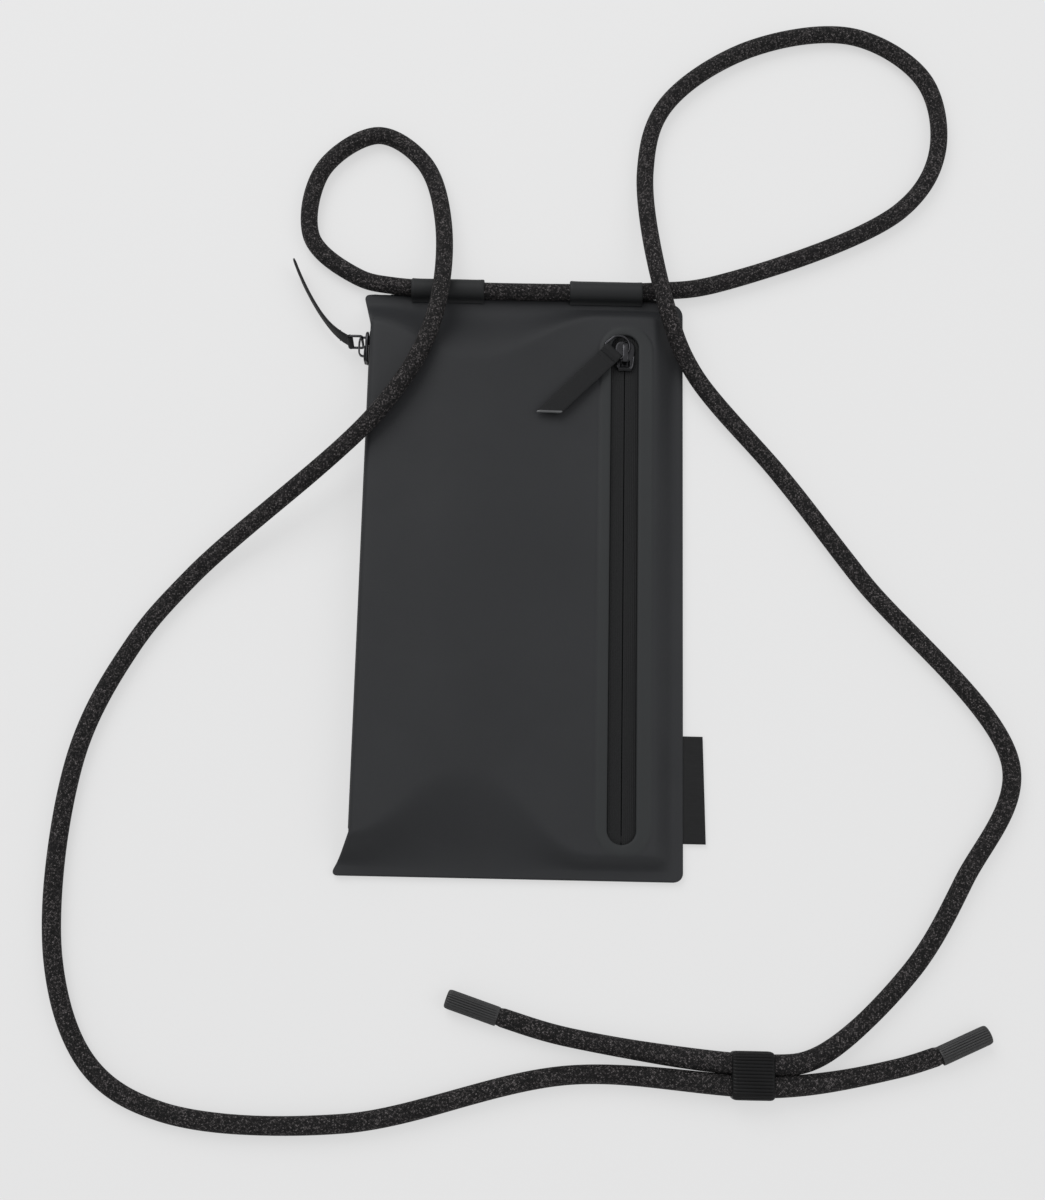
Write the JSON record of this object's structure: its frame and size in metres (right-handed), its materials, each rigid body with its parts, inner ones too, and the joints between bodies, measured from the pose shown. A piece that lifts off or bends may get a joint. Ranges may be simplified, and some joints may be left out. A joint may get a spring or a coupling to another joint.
{
  "type": "neck pouch wallet",
  "caption": "Flat welded-fabric neck pouch with a front zip pocket, a side zip compartment and a round braided neck cord with a two-hole length adjuster.",
  "frame": {"origin": "centre of the back panel's outer face, on the surface that the pouch lies on", "axes": "+X towards the right edge with the label tab, +Y towards the cord tunnels along the pouch's length, +Z out of the front panel"},
  "size_m": [0.3177, 0.3904, 0.0195],
  "materials": {
    "coated_fabric": "dark charcoal rubberised woven fabric, matt with a soft sheen",
    "tunnel_fabric": "the same coated fabric rolled into a sleeve",
    "lining": "thin plain woven lining",
    "bond_film": "matt heat-bonded film",
    "zip_tape": "black ribbed zip tape",
    "zip_coil": "black nylon coil",
    "black_nickel": "black nickel plated zinc and wire",
    "pull_tape": "flat black coated tape, folded and sewn",
    "pull_tip": "heat-sealed glossy cut edge",
    "label_satin": "black satin ribbon, bare",
    "braided_cord": "black polyester braid with grey flecks",
    "moulded_rubber": "black ribbed soft-touch rubber"
  },
  "bodies": {
    "pouch": {"front_panel": "coated_fabric", "back_panel": "coated_fabric", "pocket_divider": "lining", "front_zip_bond_frame": "bond_film", "front_zip_tape_left": "zip_tape", "front_zip_tape_right": "zip_tape", "front_zip_coil_left": "zip_coil", "front_zip_coil_right": "zip_coil", "front_zip_top_stops": "black_nickel", "front_zip_bottom_stop": "black_nickel", "side_zip_tape_lower": "zip_tape", "side_zip_tape_upper": "zip_tape", "side_zip_coil_lower": "zip_coil", "side_zip_coil_upper": "zip_coil", "side_zip_top_stops": "black_nickel", "side_zip_bottom_stop": "black_nickel", "cord_tunnel_left": "tunnel_fabric", "cord_tunnel_right": "tunnel_fabric", "tunnel_strip": "tunnel_fabric", "label_tab": "label_satin", "neck_cord": "braided_cord", "end_cap_left": "moulded_rubber", "end_cap_right": "moulded_rubber"},
    "front_slider": {"front_slider": "black_nickel"},
    "front_ring": {"front_pull_ring": "black_nickel"},
    "front_pull": {"front_pull_tape": "pull_tape", "front_pull_tip": "pull_tip"},
    "side_slider": {"side_slider": "black_nickel"},
    "side_ring": {"side_pull_ring": "black_nickel"},
    "side_pull": {"side_pull_tape": "pull_tape", "side_pull_tip": "pull_tip"},
    "adjuster": {"cord_adjuster": "moulded_rubber"}
  },
  "joints": [
    {"name": "front_zip_slide", "type": "slide", "parent": "pouch", "child": "front_slider", "axis": [0, 1, 0], "range_m": [-0.158, 0]},
    {"name": "front_ring_swivel", "type": "hinge", "parent": "front_slider", "child": "front_ring", "pos_m": [0.0313, 0.0819, 0.0083], "axis": [0, 0, 1], "range_deg": [-75, 0]},
    {"name": "front_pull_lift", "type": "hinge", "parent": "front_ring", "child": "front_pull", "pos_m": [0.02936, 0.07982, 0.0083], "axis": [-0.7314, 0.682, 0], "range_deg": [0, 95]},
    {"name": "side_zip_slide", "type": "slide", "parent": "pouch", "child": "side_slider", "axis": [0, 1, 0], "range_m": [-0.155, 0]},
    {"name": "side_ring_flip", "type": "hinge", "parent": "side_slider", "child": "side_ring", "pos_m": [-0.0575, 0.0822, 0.006], "axis": [0, 0.1736, 0.9848], "range_deg": [-5, 40]},
    {"name": "side_pull_flip", "type": "hinge", "parent": "side_ring", "child": "side_pull", "pos_m": [-0.0617, 0.0822, 0.006], "axis": [0, 0.1736, 0.9848], "range_deg": [-5, 60]},
    {"name": "adjuster_slide", "type": "slide", "parent": "pouch", "child": "adjuster", "axis": [1, 0, 0], "range_m": [-0.002, 0.0015]}
  ]
}
